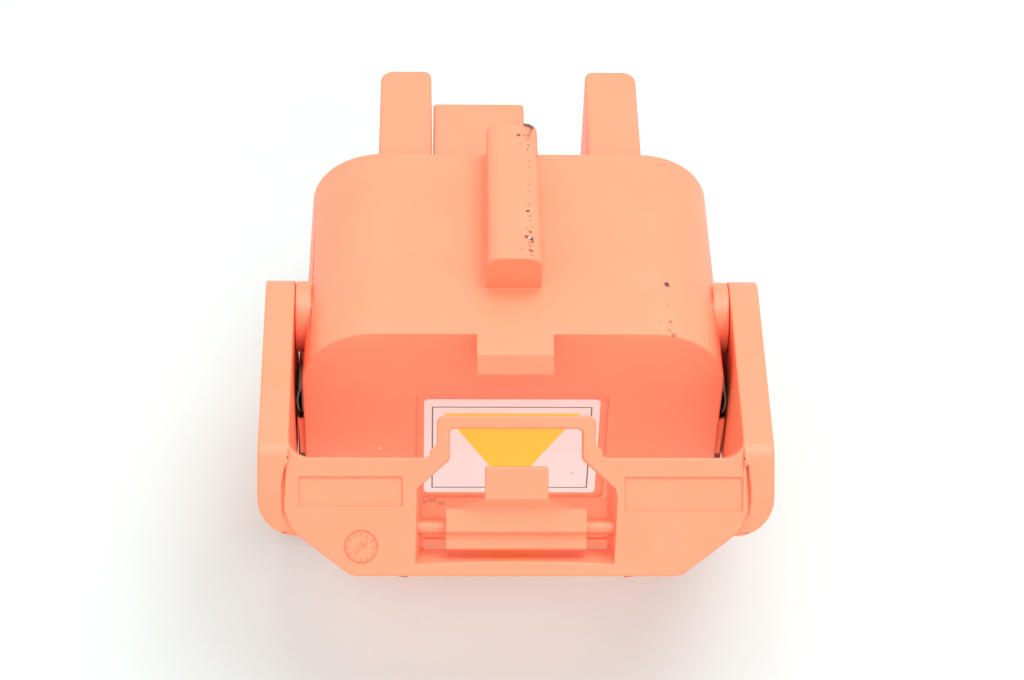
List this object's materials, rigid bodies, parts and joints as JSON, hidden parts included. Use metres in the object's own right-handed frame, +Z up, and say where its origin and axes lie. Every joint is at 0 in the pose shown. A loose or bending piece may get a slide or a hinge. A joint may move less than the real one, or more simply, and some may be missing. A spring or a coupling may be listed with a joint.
{
  "type": "high-voltage service disconnect plug with main fuse",
  "caption": "Box-shaped orange moulded plug with a swinging U-shaped lever and locking rocker at the label end, blade-socket towers at the mating end and a bolted tube fuse inside.",
  "frame": {"origin": "centre of the housing's flat lower face, which rests on the table", "axes": "+X to the right seen from the label end, +Y from the label end to the mating end, which is the plugging direction, +Z up"},
  "size_m": [0.0892, 0.1089, 0.0708],
  "materials": {
    "orange_plastic": "fine satin moulding of glass-filled nylon",
    "label_film": "satin printed film",
    "spring_steel": "rolled stainless strip",
    "seal_rubber": "smooth silicone",
    "plated_steel": "zinc plated",
    "fuse_ceramic": "unglazed steatite",
    "tinned_brass": "tinned brass",
    "silvered_copper": "silver plated copper",
    "bare_copper": "cold-rolled copper"
  },
  "bodies": {
    "plug": {"housing": "orange_plastic", "label": "label_film", "side_springs": "spring_steel", "terminal_housing": "orange_plastic", "rim_seal": "seal_rubber", "housing_screws": "plated_steel", "fuse_tube": "fuse_ceramic", "fuse_cap_left": "tinned_brass", "fuse_cap_right": "tinned_brass", "fuse_element": "silvered_copper", "fuse_bolts": "plated_steel", "spring_washers": "plated_steel", "threaded_inserts": "tinned_brass", "busbar_left": "bare_copper", "busbar_right": "bare_copper", "socket_left": "silvered_copper", "socket_right": "silvered_copper", "contact_springs_left": "spring_steel", "contact_springs_right": "spring_steel", "interlock_jumper": "tinned_brass"},
    "lever": {"lever": "orange_plastic"},
    "rocker": {"lock_rocker": "orange_plastic"}
  },
  "joints": [
    {"name": "lever_swing", "type": "hinge", "parent": "plug", "child": "lever", "pos_m": [0, -0.0062, 0.049], "axis": [-1, 0, 0], "range_deg": [0, 90]},
    {"name": "rocker_tilt", "type": "hinge", "parent": "lever", "child": "rocker", "pos_m": [0, -0.05223, 0.04616], "axis": [-1, 0, 0], "range_deg": [0, 8], "stiffness_Nm_per_rad": 0.1}
  ]
}
